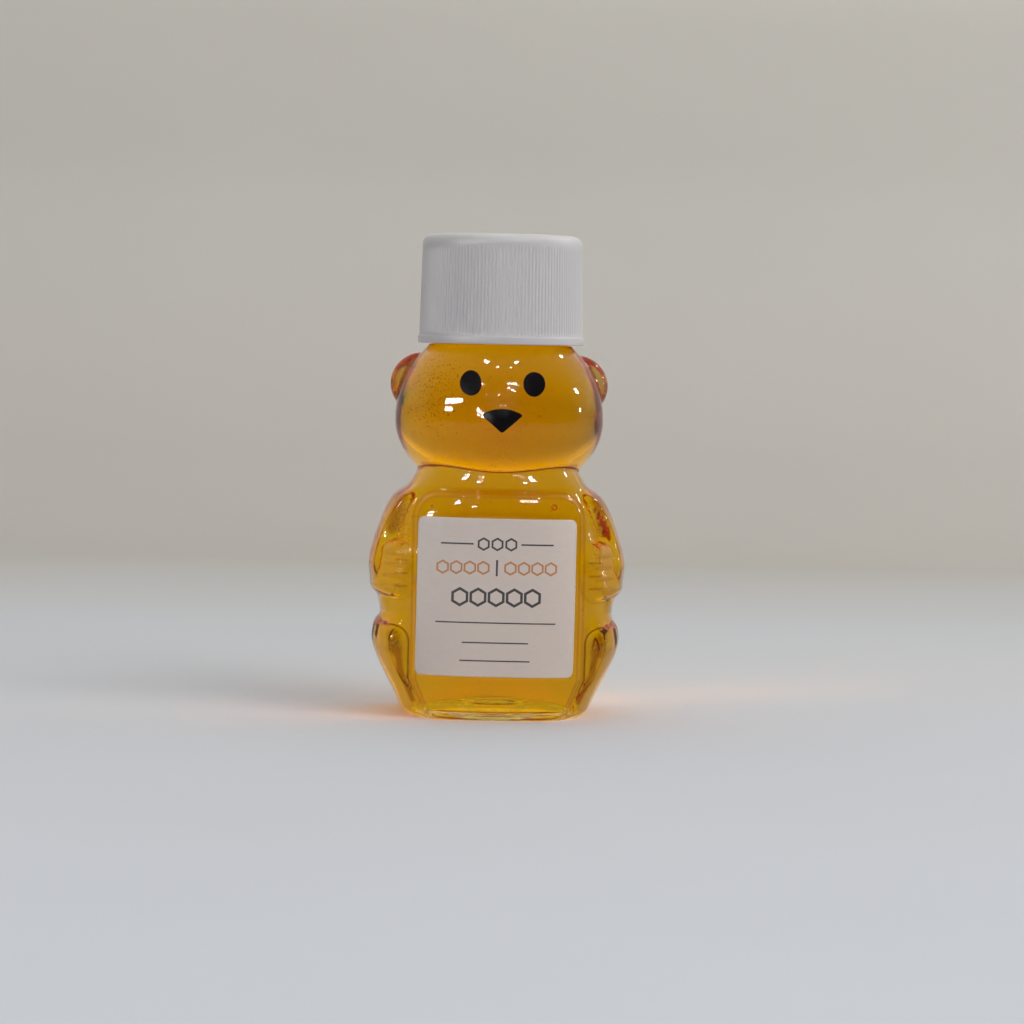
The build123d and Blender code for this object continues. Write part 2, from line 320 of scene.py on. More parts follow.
def body_radius(angle, height):
    """Outer radius of the moulded bear."""
    trunk = trunk_radius(angle, height) + limb_rise(angle, height)
    head = head_radius(angle, height)
    radius = np.where(height < head_middle, smooth_max(trunk, head, throat_blend), head)
    ear = ear_radius(angle, height)
    radius = np.where(ear > 0, smooth_max(radius, ear, ear_blend), radius)
    across = radius * np.sin(angle)
    far = np.hypot(across / muzzle_half_width, (height - head_middle) / muzzle_half_height)
    muzzle = muzzle_rise * (1 - np.minimum(far, 1) ** 2) ** 2
    panel = panel_rise * ease(panel_depth(across, height) / panel_edge)
    return radius + np.where(np.cos(angle) > 0, panel + muzzle, 0)


def fine_relief(angle, height):
    """Grooves between fingers and toes and along the panel's border, and the parting line on the sides."""
    turn = np.abs(angle) * 180 / pi
    hand = ease((turn - finger_start_angle) / finger_start_fade)
    hand = hand * ease((finger_end_angle - turn) / finger_end_fade)
    fingers = sum(np.exp(-(((height - groove) / finger_groove_width) ** 2)) for groove in finger_grooves)
    foot = ease((height - toe_bottom) / toe_bottom_fade) * ease((toe_top - height) / toe_top_fade)
    toes = sum(np.exp(-(((turn - groove) / toe_groove_width) ** 2)) for groove in toe_grooves)
    seam = np.exp(-(((turn - 90) * girth_per_degree / seam_half_width) ** 2))
    across = body_radius(angle, height) * np.sin(angle)
    border = np.exp(-((panel_depth(across, height) / border_half_width) ** 2)) * (np.cos(angle) > 0)
    return seam * seam_rise - border_depth * border - finger_depth * hand * fingers - toe_depth * foot * toes


def shell_radius(angle, height):
    return body_radius(angle, height) + fine_relief(angle, height)


def hollow_radius(angle, height):
    """Inner radius, one wall inside the outer face measured square to it."""
    step = 0.5
    radius = body_radius(angle, height)
    rise = (body_radius(angle, height + step) - body_radius(angle, height - step)) / (2 * step)
    turn = step / radius
    swing = (body_radius(angle + turn, height) - body_radius(angle - turn, height)) / (2 * step)
    inset = corner_inset(height - floor_thickness, hollow_corner_radius)
    return radius - inset - wall * np.sqrt(1 + rise**2 + swing**2)


def thread_relief(angle, height):
    """Ridge of the neck's thread: a right-hand helix that starts on +X and fades in and out."""
    start = (angle - pi / 2) % (2 * pi) / (2 * pi)
    relief = 0
    for lap in (0, 1):
        turn = start + lap
        off = np.abs(height - thread_start - thread_pitch * turn)
        ridge = ease((thread_foot - off) / (thread_foot - thread_crest))
        relief = relief + ridge * ease(turn / thread_fade) * ease((thread_turns - turn) / thread_fade)
    return relief * thread_rise


spread = np.arange(columns) * 2 * pi / columns
angles = (spread + pi - front_crowding * np.sin(spread + pi)) - pi
angles = np.where(angles > pi, angles - 2 * pi, angles)


def round_points(radius, height):
    radius = np.broadcast_to(radius, angles.shape)
    return np.stack((radius * np.sin(angles), -radius * np.cos(angles), np.full(columns, height)), 1)


def rings_up(radius_at, heights):
    """Rings of the moulded form at these heights."""
    radii = radius_at(angles[None, :], np.array(heights)[:, None])
    return [round_points(radius, level) for radius, level in zip(radii, heights)]


def steps(low, high, step):
    """Even heights from low to high, about a step apart."""
    count = max(round((high - low) / step), 1)
    return [low + (high - low) * index / count for index in range(count + 1)]


def ladder(*parts):
    """Heights through parts that follow one another, each given by its low end, high end and step."""
    return [height for part in parts for height in steps(*part)[:-1]] + steps(*parts[-1])[-1:]


def round_in(low, radius, turns):
    """Heights over a rounded lower edge, by the angles of its points in degrees."""
    return [low + radius * (1 - cos(radians(turn))) for turn in turns]


def blend_rings(first, last, shares):
    """Rings between two, level at both ends."""
    return [first + (last - first) * np.array((ease(share), ease(share), share)) for share in shares]


def base_rings(rim, gate, lift, outline):
    """Push-up of the base from its gate to its rim, then out to the standing ring."""
    crown = push_up_rise + lift
    rings = [round_points(gate * share, crown + gate_rise) for share in (0.15, 0.4, 0.65, 0.85, 0.96)]
    for share, rise in ((1.0, 0.9), (1.03, 0.4), (1.06, 0)):
        rings.append(round_points(gate * share, crown + gate_rise * rise))
    for turn in np.linspace(8, 90, 12):
        reach = gate + (rim - gate) * sin(radians(turn))
        rings.append(round_points(reach, lift + push_up_rise * cos(radians(turn))))
    last = rings[-1]
    for share in (0.25, 0.55, 0.85):
        rings.append(last + (outline - last) * share)
    return rings


def link(name, data):
    """New object of the scene that shows this mesh, or is this lamp or camera."""
    made = bpy.data.objects.new(name, data)
    bpy.context.scene.collection.objects.link(made)
    return made


def smooth_mesh(name, points, faces):
    mesh = bpy.data.meshes.new(name)
    mesh.from_pydata(points, [], faces)
    mesh.shade_smooth()
    return link(name, mesh)


def skin(name, rings):
    """Closed smooth mesh through rings of points, its two ends closed by fans."""
    count = len(rings[0])
    middle = [np.mean(ring, 0, keepdims=True) for ring in (rings[0], rings[-1])]
    points = np.concatenate([*rings, *middle]) * mm
    column = np.arange(count)
    after = (column + 1) % count
    starts = (np.arange(len(rings) - 1) * count)[:, None]
    quads = np.stack((starts + column, starts + after, starts + count + after, starts + count + column), -1)
    first, last = len(rings) * count, (len(rings) - 1) * count
    low_fan = np.stack((np.full(count, first), after, column), -1)
    high_fan = np.stack((last + column, last + after, np.full(count, first + 1)), -1)
    faces = quads.reshape(-1, 4).tolist() + low_fan.tolist() + high_fan.tolist()
    return smooth_mesh(name, points.tolist(), faces)


def join(name, pieces):
    """One piece from several meshes."""
    whole = bmesh.new()
    for piece in pieces:
        whole.from_mesh(piece.data)
        bpy.data.objects.remove(piece)
    mesh = bpy.data.meshes.new(name)
    whole.to_mesh(mesh)
    whole.free()
    mesh.shade_smooth()
    return link(name, mesh)


shell_heights = round_in(0, base_corner_radius, (0, 12, 24, 36, 48, 60, 72, 84)) + ladder(
    (base_corner_radius, 35, 0.36), (35, 43, 0.26), (43, 57, 0.36), (57, 59, 0.13), (59, neck_base, 0.25)
)
surface_shares = (1, 0.97, 0.92, 0.8, 0.5, 0.2)
hollow_foot = floor_thickness + hollow_corner_radius
hollow_heights = round_in(floor_thickness, hollow_corner_radius, (0, 20, 40, 60, 80)) + ladder(
    (hollow_foot, 34, 0.6), (34, 44, 0.4), (44, 56, 0.6), (56, 60.2, 0.3)
)


def make_bottle():
    """Clear shell: base, outer form, threaded neck, rim, bore and inner wall, in one skin."""
    outer = rings_up(shell_radius, shell_heights)
    rings = base_rings(push_up_radius, gate_radius, 0, outer[0])
    rings += outer
    for turn in (20, 45, 70, 90):
        reach = neck_radius + collar_fillet - collar_fillet * (1 - cos(radians(turn)))
        rings.append(round_points(reach, neck_base + neck_step * sin(radians(turn))))
    edge = rim_height - rim_rounding
    for height in steps(neck_base + 0.4, edge, 0.28):
        rings.append(round_points(neck_radius + thread_relief(angles, height), height))
    rounding = [radians(turn) for turn in (18, 36, 54, 72, 90)]
    for turn in rounding:
        reach = neck_radius - rim_rounding * (1 - cos(turn))
        rings.append(round_points(reach, edge + rim_rounding * sin(turn)))
    for turn in reversed(rounding):
        reach = neck_bore_radius + rim_rounding * (1 - cos(turn))
        rings.append(round_points(reach, edge + rim_rounding * sin(turn)))
    for height in reversed([honey_level] + steps(honey_level + 1, edge, 1.6)):
        rings.append(round_points(neck_bore_radius, height))
    wetted_from = len(rings) - 1
    throat = round_points(neck_bore_radius, throat_top)
    inner = rings_up(hollow_radius, hollow_heights)
    rings += [throat] + blend_rings(throat, inner[-1], (0.3, 0.6, 0.85))
    rings += reversed(inner)
    rings += reversed(base_rings(push_up_radius + wall, gate_radius + wall, floor_thickness, inner[0]))
    bottle = skin("clear_bottle", rings)
    side = np.zeros(len(bottle.data.polygons), np.int32)
    side[wetted_from * columns:-2 * columns] = 1
    side[-columns:] = 1
    bottle.data.polygons.foreach_set("material_index", side)
    return bottle


def honey_surface(share):
    """Height of the honey's free surface, which rises to the neck, by its share of the bore."""
    return honey_level - honey_dish * ease((1 - share) / honey_dish_share)


def make_honey():
    """Honey: it fills the hollow and a little of the wall's inside, so that no gap shows."""
    def radius_at(angle, height):
        return hollow_radius(angle, height) + honey_overlap

    outer = rings_up(radius_at, hollow_heights)
    rings = base_rings(push_up_radius + wall, gate_radius + wall, floor_thickness - honey_overlap, outer[0])
    rings += outer
    bore = neck_bore_radius + honey_overlap
    throat = round_points(bore, throat_top)
    rings += blend_rings(outer[-1], throat, (0.15, 0.4, 0.7)) + [throat]
    rings += [round_points(bore * share, honey_surface(share)) for share in surface_shares]
    return skin("plain_honey", rings)


def front_face(x, z):
    """Depth of the outer face of the front at this place across and up."""
    low, high = np.full(np.shape(x), -pi / 2), np.full(np.shape(x), pi / 2)
    for _ in range(40):
        middle = (low + high) / 2
        beyond = body_radius(middle, z) * np.sin(middle) > x
        low, high = np.where(beyond, low, middle), np.where(beyond, middle, high)
    return -body_radius(middle, z) * np.cos(middle)


def film(name, outline, middle, thickness, count):
    """Thin patch that lies on the front face: outline gives its edge, across and up from its middle."""
    middle = np.array(middle)
    size = np.abs(outline).max()

    def ring(inset, lift):
        place = middle + outline * (1 - inset / size)
        y = front_face(place[:, 0], place[:, 1]) - lift
        return np.stack((place[:, 0], y, place[:, 1]), 1)

    insets = [size * index / count for index in range(count - 1, 0, -1)]
    back = [ring(inset, -film_sink) for inset in [*insets, 0]]
    rounding = ((0, 0.5), (0.3, 0.9), (0.8, 1))
    rim = [ring(thickness * inset, thickness * lift) for inset, lift in rounding]
    front = [ring(inset, thickness) for inset in reversed(insets)]
    return skin(name, back + rim + front)


def rounded_square(half, corner, per_side=40, per_corner=10):
    """Edge points of a square with round corners, counterclockwise."""
    side = [(half, place) for place in np.linspace(-half + corner, half - corner, per_side, endpoint=False)]
    middle = half - corner
    bends = np.linspace(0, pi / 2, per_corner, endpoint=False)
    quarter = np.array(side + [(middle + corner * cos(bend), middle + corner * sin(bend)) for bend in bends])
    return np.concatenate([turned(quarter, 90 * index) for index in range(4)])


def turned(outline, degrees):
    turn = radians(degrees)
    return outline @ np.array(((cos(turn), sin(turn)), (-sin(turn), cos(turn))))


def oval(half_width, half_height, wobble):
    """Printed oval, a little uneven."""
    turn = np.linspace(0, 2 * pi, 96, endpoint=False)
    size = 1 + wobble * np.sin(3 * turn + 0.6) + wobble * np.cos(2 * turn)
    return np.stack((half_width * size * np.cos(turn), half_height * size * np.sin(turn)), 1)


def nose_outline():
    """Arched on top and pointed below, its corners rounded by averaging."""
    half_width, corner_rise, top_rise, tip_drop = 3.35, 0.75, 1.75, 2.15
    across = np.linspace(half_width, -half_width, 60, endpoint=False)
    arch = np.stack((across, corner_rise + (top_rise - corner_rise) * (1 - (across / half_width) ** 2)), 1)
    down = np.linspace((-half_width, corner_rise), (0, -tip_drop), 40, endpoint=False)
    up = np.linspace((0, -tip_drop), (half_width, corner_rise), 40, endpoint=False)
    points = np.concatenate((arch, down, up))
    for _ in range(14):
        points = (np.roll(points, 1, 0) + 2 * points + np.roll(points, -1, 0)) / 4
    return points


def make_label():
    outline = turned(rounded_square(label_half, label_corner), label_tilt)
    return film("paper_label", outline, label_middle, label_thickness, 48)


def make_honey_top():
    """Free surface of the honey, dished where it meets the neck."""
    gap = 0.01
    bore = neck_bore_radius - gap
    rings = [round_points(bore * share, honey_surface(share) + gap) for share in surface_shares]
    column = np.arange(columns)
    after = (column + 1) % columns
    last = (len(rings) - 1) * columns
    starts = np.arange(0, last, columns)[:, None]
    above = starts + columns
    quads = np.stack((starts + column, starts + after, above + after, above + column), -1)
    faces = quads.reshape(-1, 4).tolist() + [(last + column).tolist()]
    return smooth_mesh("honey_top", (np.concatenate(rings) * mm).tolist(), faces)


def make_bubbles():
    """Clouds of fine bubbles where the honey was poured, and a few larger ones at the panel's top."""
    random.seed(7)
    spots = list(large_bubbles)
    for x, z, spread_x, spread_z, count, smallest, largest in bubble_clouds:
        for _ in range(count):
            spot = (random.gauss(x, spread_x), random.gauss(z, spread_z))
            spots.append((*spot, random.uniform(0.25, 1.4), random.uniform(smallest, largest)))
    across, up, depth, radius = np.array(spots).T
    room = hollow_radius(np.full(len(spots), pi / 2), up)
    kept = (up > 3) & (up < 58) & (np.abs(across) < room * 0.9)
    middles = np.stack((across, front_face(across, up) + wall + depth + radius, up), 1)[kept]
    ball = bmesh.new()
    bmesh.ops.create_icosphere(ball, subdivisions=2, radius=1.0)
    bmesh.ops.reverse_faces(ball, faces=ball.faces[:])
    corners = np.array([vertex.co for vertex in ball.verts])
    faces = np.array([[vertex.index for vertex in face.verts] for face in ball.faces])
    ball.free()
    points = middles[:, None] + corners[None] * radius[kept][:, None, None]
    starts = np.arange(len(middles)) * len(corners)
    faces = (faces[None] + starts[:, None, None]).reshape(-1, 3)
    return smooth_mesh("bubbles", (points.reshape(-1, 3) * mm).tolist(), faces.tolist())


def turning(count):
    return np.arange(count) * 2 * pi / count


def circle(radius, height, count):
    turn = turning(count)
    radius = np.broadcast_to(radius, turn.shape)
    height = np.broadcast_to(height, turn.shape)
    return np.stack((radius * np.cos(turn), radius * np.sin(turn), height), 1)


def arc(radius, height, size, first, last, count):
    """Radii and heights round an edge, from its middle and by its angle from level."""
    turns = [radians(turn) for turn in np.linspace(first, last, count)]
    return [(radius + size * cos(turn), height + size * sin(turn)) for turn in turns]


def make_cap():
    """White closure: ceiling, bore, lip, bead, ribbed skirt and round edge in one skin, and its thread."""
    count = rib_count * points_per_rib
    crest = 0.5 + 0.5 * np.cos(rib_count * turning(count))
    inside = [(share * cap_bore_radius, cap_ceiling) for share in (0.3, 0.7, 0.93)]
    inside += arc(cap_bore_radius - 0.4, cap_ceiling - 0.4, 0.4, 90, 0, 4)
    inside += [(cap_bore_radius, height) for height in (72, 67, 62.5)]
    inside += arc(cap_bore_radius + lip_rounding, cap_bottom + lip_rounding, lip_rounding, 180, 270, 4)
    bead_top = cap_bottom + cap_bead_height
    foot, top = bead_foot_rounding, bead_top_rounding
    bead = arc(cap_bead_radius - foot, cap_bottom + foot, foot, -90, 0, 5)
    bead += [(cap_bead_radius, bead_top - 0.2)]
    bead += arc(cap_bead_radius - top, bead_top - top, top, 20, 90, 4)
    rings = [circle(radius, height, count) for radius, height in inside + bead]
    rib_low, rib_high = bead_top + 0.05, cap_top - cap_edge_radius - 0.1
    for share in (0, 0.02, 0.04, 0.07, 0.2, 0.4, 0.6, 0.8, 0.93, 0.96, 0.98, 1.0):
        height = rib_low + (rib_high - rib_low) * share
        radius = cap_skirt_radius + (cap_top_radius - cap_skirt_radius) * share
        groove = rib_depth * ease(share / 0.05) * ease((1 - share) / 0.06)
        rings.append(circle(radius - groove * (1 - crest) ** rib_sharpness, height, count))
    edge = arc(cap_top_radius - cap_edge_radius, cap_top - cap_edge_radius, cap_edge_radius, 8, 90, 10)
    # A flat rim, a shallow dish inside it and the pip where the cap was moulded
    dish = ((10.6, 0), (10.45, 0.06), (6, 0.07), (1.5, 0.07), (1.2, 0), (0.5, 0))
    rings += [circle(radius, height, count) for radius, height in edge]
    rings += [circle(radius, cap_top - drop, count) for radius, drop in dish]
    return join("white_closure", [skin("closure", rings), make_cap_thread()])


def make_cap_thread():
    """Ridge of the cap's thread: half a pitch under the neck's, and as long."""
    rings = []
    foot = cap_bore_radius + 0.2
    for turn in np.linspace(0, thread_turns, 150):
        angle = 2 * pi * turn
        size = float(ease(turn / thread_fade) * ease((thread_turns - turn) / thread_fade)) * 0.98 + 0.02
        height = thread_start - thread_pitch / 2 + thread_pitch * turn
        crest = cap_bore_radius - thread_rise * size
        profile = ((foot, thread_foot), (foot, -thread_foot), (crest, -thread_crest), (crest, thread_crest))
        ring = [(reach * cos(angle), reach * sin(angle), height + lift * size) for reach, lift in profile]
        rings.append(np.array(ring))
    return skin("closure_thread", rings)


def make_liner():
    """Foam disc, pressed flat where it sits on the rim and a little proud elsewhere."""
    rings = [(2, -0.08), (5, -0.08), (8.6, -0.08), (9.1, -0.05), (9.3, 0)]
    rings += [(10.75, 0), (10.95, -0.05), (11.3, -0.06)]
    corner = liner_radius - liner_rounding
    rings += arc(corner, liner_rounding - 0.06, liner_rounding, -90, 0, 4)
    rings += arc(corner, liner_thickness - liner_rounding, liner_rounding, 0, 90, 4)
    rings += [(radius, liner_thickness) for radius in (9, 6, 3)]
    return skin("foam_disc", [circle(radius, rim_height + height, liner_points) for radius, height in rings])


class Wire:
    """One socket of a material's nodes. Python's operators on it add Math nodes."""

    def __init__(self, tree, socket):
        self.tree = tree
        self.socket = socket

    def maths(self, operation, *values):
        return add_node(self.tree, "Math", dict(enumerate(values)), operation=operation)

    def __add__(self, other):
        return self.maths("ADD", self, other)

    def __mul__(self, other):
        return self.maths("MULTIPLY", self, other)

    def __sub__(self, other):
        return self.maths("SUBTRACT", self, other)

    def __rsub__(self, other):
        return self.maths("SUBTRACT", other, self)

    def __truediv__(self, other):
        return self.maths("DIVIDE", self, other)

    def __lt__(self, other):
        return self.maths("LESS_THAN", self, other)

    def __abs__(self):
        return self.maths("ABSOLUTE", self)

    def __or__(self, other):
        return self.maths("MAXIMUM", self, other)

    def __and__(self, other):
        return self.maths("MINIMUM", self, other)

    __radd__ = __add__
    __rmul__ = __mul__


def add_node(tree, kind, inputs=(), output=0, stops=(), **settings):
    """New node with these settings, and values or links of its inputs by name or number. Gives an output."""
    node = tree.nodes.new("ShaderNode" + kind)
    for name, value in settings.items():
        setattr(node, name, value)
    for index, (place, colour) in enumerate(stops):
        ramp = node.color_ramp.elements
        stop = ramp[index] if index < len(ramp) else ramp.new(place)
        stop.position, stop.color = place, (*colour, 1)
    for key, value in dict(inputs).items():
        if isinstance(value, Wire):
            tree.links.new(value.socket, node.inputs[key])
        else:
            node.inputs[key].default_value = value
    return Wire(tree, node.outputs[output])


class Finish:
    """A material by its name, whose node method adds nodes to it."""

    def __init__(self, name):
        self.material = bpy.data.materials.new(name)
        self.material.use_nodes = True
        self.tree = self.material.node_tree
        self.tree.nodes.clear()
        self.place = self.node("TexCoord", output="Object")

    def node(self, kind, inputs=(), output=0, stops=(), **settings):
        return add_node(self.tree, kind, inputs, output, stops, **settings)

    def noise(self, scale, detail=2, roughness=0.5, stretch=(1, 1, 1)):
        place = self.node("VectorMath", {0: self.place, 1: stretch}, operation="MULTIPLY")
        settings = {"Vector": place, "Scale": scale, "Detail": detail, "Roughness": roughness}
        return self.node("TexNoise", settings)

    def split(self, scale=1):
        """Place across, back and up."""
        return [self.node("SeparateXYZ", {0: self.place}, output=axis) * scale for axis in ("X", "Y", "Z")]

    def length(self, across, up):
        return self.node("Math", {0: across * across + up * up, 1: 0.5}, operation="POWER")

    def mix(self, share, one, other):
        """Colour between two, by a share from 0 to 1."""
        colours = [colour if isinstance(colour, Wire) else (*colour, 1) for colour in (one, other)]
        return self.node("Mix", {0: share, 6: colours[0], 7: colours[1]}, output=2, data_type="RGBA")

    def ramp(self, value, low, high):
        """Share of the way from low to high, smooth at both ends."""
        settings = {"Value": value, "From Min": low, "From Max": high}
        return self.node("MapRange", settings, interpolation_type="SMOOTHSTEP")

    def bump(self, height, distance):
        return self.node("Bump", {"Height": height, "Distance": distance, "Strength": 1.0})

    def done(self, surface, volume=None):
        output = self.tree.nodes.new("ShaderNodeOutputMaterial")
        self.tree.links.new(surface.socket, output.inputs["Surface"])
        if volume:
            self.tree.links.new(volume.socket, output.inputs["Volume"])
        return self.material

    def let_lamps_through(self, glass, colour):
        """Lamps shine through clear stuff, so that its shadow is light."""
        shadow = self.node("LightPath", output="Is Shadow Ray")
        clear = self.node("BsdfTransparent", {"Color": colour})
        return self.node("MixShader", {0: shadow, 1: glass, 2: clear})


def painted_crease_shade(finish):
    """Painted shade in the colour that the front's skin lets through: browner along the creases of panel,
    legs, arms, fingers, throat and ears, where refraction darkens the honey. Painted on the front only.
    """
    x, y, z = finish.split(1000)
    across = abs(x)

    def near(distance, half):
        """Share that falls from 1 beside a line to 0 at this distance."""
        return finish.ramp(distance, half, half * 0.25)

    def box(beyond, top, corner):
        """Depth inside the border of a box on the base, by how far a place is past the box's side."""
        past_side, past_top = beyond + corner, z - top + corner
        return corner - finish.length(past_side | 0, past_top | 0) - ((past_side | past_top) & 0)

    def stroke(start, end, half):
        """Straight stroke between two places across and up."""
        run, rise = end[0] - start[0], end[1] - start[1]
        from_x, from_z = across - start[0], z - start[1]
        share = ((from_x * run + from_z * rise) / (run * run + rise * rise) | 0) & 1
        return near(finish.length(from_x - share * run, from_z - share * rise), half)

    bend = (z / panel_bend_height | 0) & 1
    panel_side = bend * (panel_half_width - panel_foot_half_width) + panel_foot_half_width
    panel = box(across - panel_side, panel_top, panel_corner)
    leg = box(bend * leg_line_bend + leg_line_foot - across, leg_line_top, leg_line_corner)
    # Noise that breaks up the painted shade of the knee patch and upper arm
    shade_mottle = finish.ramp(finish.noise(1900, 3, 0.65), 0.38, 0.62)
    shin = stroke((15.9, 10.8), (15.4, 7.5), 0.9) | stroke((15.4, 7.5), (13.3, 3.0), 0.7)
    fingers = near(abs(z - 21.4), 0.3) | near(abs(z - 23.5), 0.25) | near(abs(z - 25.6), 0.25)
    ear = finish.ramp(y, -2.5, -1.0) * finish.ramp(z, 47.0, 49.5) * finish.ramp(across, 12.6, 13.6)
    # Marks of painted shade, each with its tint: panel border and top, leg lines, knee patch, shin, upper
    # arm, throat crease, fingers and ear
    marks = (
        (near(abs(panel - 0.05), 0.3) | near(abs(panel - 0.8), 0.3) * 0.8, (0.76, 0.56, 0.38)),
        (near(abs(z - panel_top), 0.9) * near(across, 13.0), (0.72, 0.45, 0.22)),
        (near(abs(leg), 0.24) * finish.ramp(across, 18.4, 17.2) * finish.ramp(z, 2.0, 6.0), painted_leg_line_shade),
        (stroke((16.6, 13.2), (16.3, 11.2), 1.7) * (shade_mottle * 0.3 + 0.7), (0.24, 0.08, 0.03)),
        (shin, (0.42, 0.19, 0.07)),
        (stroke((15.7, 35.6), (17.2, 30.4), 1.5) * (shade_mottle * 0.2 + 0.8), (0.40, 0.16, 0.06)),
        (stroke((10.5, 40.6), (12.4, 40.9), 0.5), (0.6, 0.4, 0.22)),
        (fingers * finish.ramp(across, 14.2, 14.8) * finish.ramp(across, 17.0, 16.2), (0.62, 0.44, 0.26)),
        (ear, (0.50, 0.25, 0.11)),
    )
    colour = (0.985, 0.98, 0.97)
    for share, tint in marks:
        colour = finish.mix(share * (y < 5), colour, tint)
    return colour


def clear_plastic():
    """Blow-moulded PET: glossy and a little wavy, with painted shade along its creases in its colour."""
    finish = Finish("clear_plastic")
    waves = finish.noise(170, 1) * 0.8 + finish.noise(900, 2) * 0.05
    glass = finish.node("BsdfPrincipled", {
        # Base Color carries painted shade along the creases
        "Base Color": painted_crease_shade(finish),
        "Roughness": 0.0,
        "IOR": plastic_index,
        "Specular Tint": (plastic_shine, plastic_shine, plastic_shine, 1),
        "Transmission Weight": 1.0,
        "Normal": finish.bump(waves, 0.00012),
    })
    return finish.done(finish.let_lamps_through(glass, shell_shade))


def clear_side(name, index, absorbs=False):
    """Smooth clear face that bends light by this index. Honey takes out blue soon and green slowly."""
    finish = Finish(name)
    glass = finish.node("BsdfPrincipled", {
        "Base Color": (1, 1, 1, 1),
        "Roughness": 0.0,
        "IOR": index,
        "Transmission Weight": 1.0,
    })
    if not absorbs:
        return finish.done(finish.let_lamps_through(glass, bare_shade))
    volume = finish.node("VolumeAbsorption", {"Color": honey_colour, "Density": honey_density})
    return finish.done(finish.let_lamps_through(glass, amber_shade), volume)


def white_plastic():
    """Moulded polypropylene: satin white with faint flow marks and fine scuffs."""
    finish = Finish("white_plastic")
    flow = finish.noise(60, 3, 0.6, (1, 1, 0.4))
    scuffs = finish.noise(1500, 3, 0.7, (1, 1, 0.15))
    colour = finish.mix(flow, (0.60, 0.575, 0.58), (0.65, 0.625, 0.625))
    shine = finish.node("BsdfPrincipled", {
        "Base Color": colour,
        "Roughness": finish.ramp(scuffs, 0.3, 0.75) * 0.12 + 0.46,
        "IOR": 1.49,
        "Subsurface Weight": 0.12,
        "Subsurface Radius": (0.6, 0.55, 0.5),
        "Subsurface Scale": 0.001,
        "Normal": finish.bump(scuffs, 0.00001),
    })
    return finish.done(shine)


def foam():
    """White polyethylene foam: fine closed cells."""
    finish = Finish("foam")
    cells = finish.node("TexVoronoi", {"Vector": finish.place, "Scale": 2600.0})
    shine = finish.node("BsdfPrincipled", {
        "Base Color": finish.mix(cells, (0.72, 0.71, 0.69), (0.80, 0.79, 0.77)),
        "Roughness": 0.7,
        "Normal": finish.bump(cells, 0.00006),
    })
    return finish.done(shine)


def label_paper():
    """Matte paper with generic print: writing lines, and cells of honeycomb in amber and black."""
    finish = Finish("label_paper")
    x, _, z = finish.split(1000)
    x, z = x - label_middle[0], z - label_middle[1]
    x, z = x - z * label_lean, z + x * label_lean
    soft = finish.noise(9000, 2)
    ragged = (soft - 0.5) * 0.05

    def bar(across, up, half_width, half_height):
        """Printed bar, by its middle's place from the label's middle."""
        return (abs(x - across) + ragged < half_width) * (abs(z - up) + ragged < half_height)

    def cells(up, pitch, size, line, half_width):
        """Row of hexagon outlines, side by side. cos 30 degrees slants their sides."""
        along = finish.node("Math", {0: x + pitch / 2, 1: pitch}, operation="FLOORED_MODULO") - pitch / 2
        across = abs(along)
        far = across | (across * 0.5 + abs(z - up) * 0.866) + ragged
        return (far < size) * (1 - (far < size - line)) * (abs(x) < half_width)

    black = 0
    for mark in [bar(*row) for row in printed_bars] + [cells(*row) for row in black_cells]:
        black = mark | black
    amber = cells(*amber_cells) * (1 - (abs(x) < amber_gap))
    fibres = finish.noise(700, 4, 0.65, (1, 1, 2.5))
    paper = finish.mix(fibres, (0.69, 0.585, 0.52), (0.76, 0.645, 0.57))
    inked = finish.mix(amber * 0.93, paper, (0.56, 0.19, 0.02))
    inked = finish.mix(black * 0.96, inked, (0.012, 0.011, 0.012))
    shine = finish.node("BsdfPrincipled", {
        "Base Color": inked,
        "Roughness": 0.62 - black * 0.12,
        "Normal": finish.bump(fibres + soft * 0.3, 0.00003),
    })
    return finish.done(shine)


def black_ink():
    """Thick glossy print, a little uneven."""
    finish = Finish("black_ink")
    mottle = finish.noise(1600, 3)
    shine = finish.node("BsdfPrincipled", {
        "Base Color": finish.mix(mottle, (0.004, 0.003, 0.004), (0.008, 0.006, 0.007)),
        "Roughness": finish.ramp(mottle, 0.3, 0.7) * 0.1 + 0.28,
        "Specular IOR Level": 0.04,
        "Normal": finish.bump(mottle, 0.00001),
    })
    return finish.done(shine)


def sweep_paper():
    """Seamless paper whose colour holds painted light and shade: cool and pale in front, darkest where the
    floor turns up, lighter and warmer where it rises behind, with a painted glow above the part that the
    camera sees.
    """
    finish = Finish("sweep_paper")
    _, y, z = finish.split()
    blotches = finish.noise(9, 4, 0.6)
    # Painted light and shade along the sheet, by place from front to top
    colour = finish.node("ValToRGB", {0: y + z + sweep_front}, stops=sweep_painted_light_colours)
    shade = finish.mix(blotches, (0.97, 0.97, 0.97), (1.03, 1.03, 1.03))
    both = {0: 1.0, 6: colour, 7: shade}
    tinted = finish.node("Mix", both, output=2, data_type="RGBA", blend_type="MULTIPLY")
    # Painted light: the paper glows above the part that the camera sees, though no lamp is there
    glow = finish.mix(finish.ramp(z, backdrop_seen, backdrop_top), (0, 0, 0), backdrop_glow)
    shine = finish.node("BsdfPrincipled", {
        "Base Color": tinted,
        "Roughness": 0.85,
        "Specular IOR Level": 0.2,
        "Emission Color": glow,
        "Emission Strength": 1.0,
    })
    return finish.done(shine)


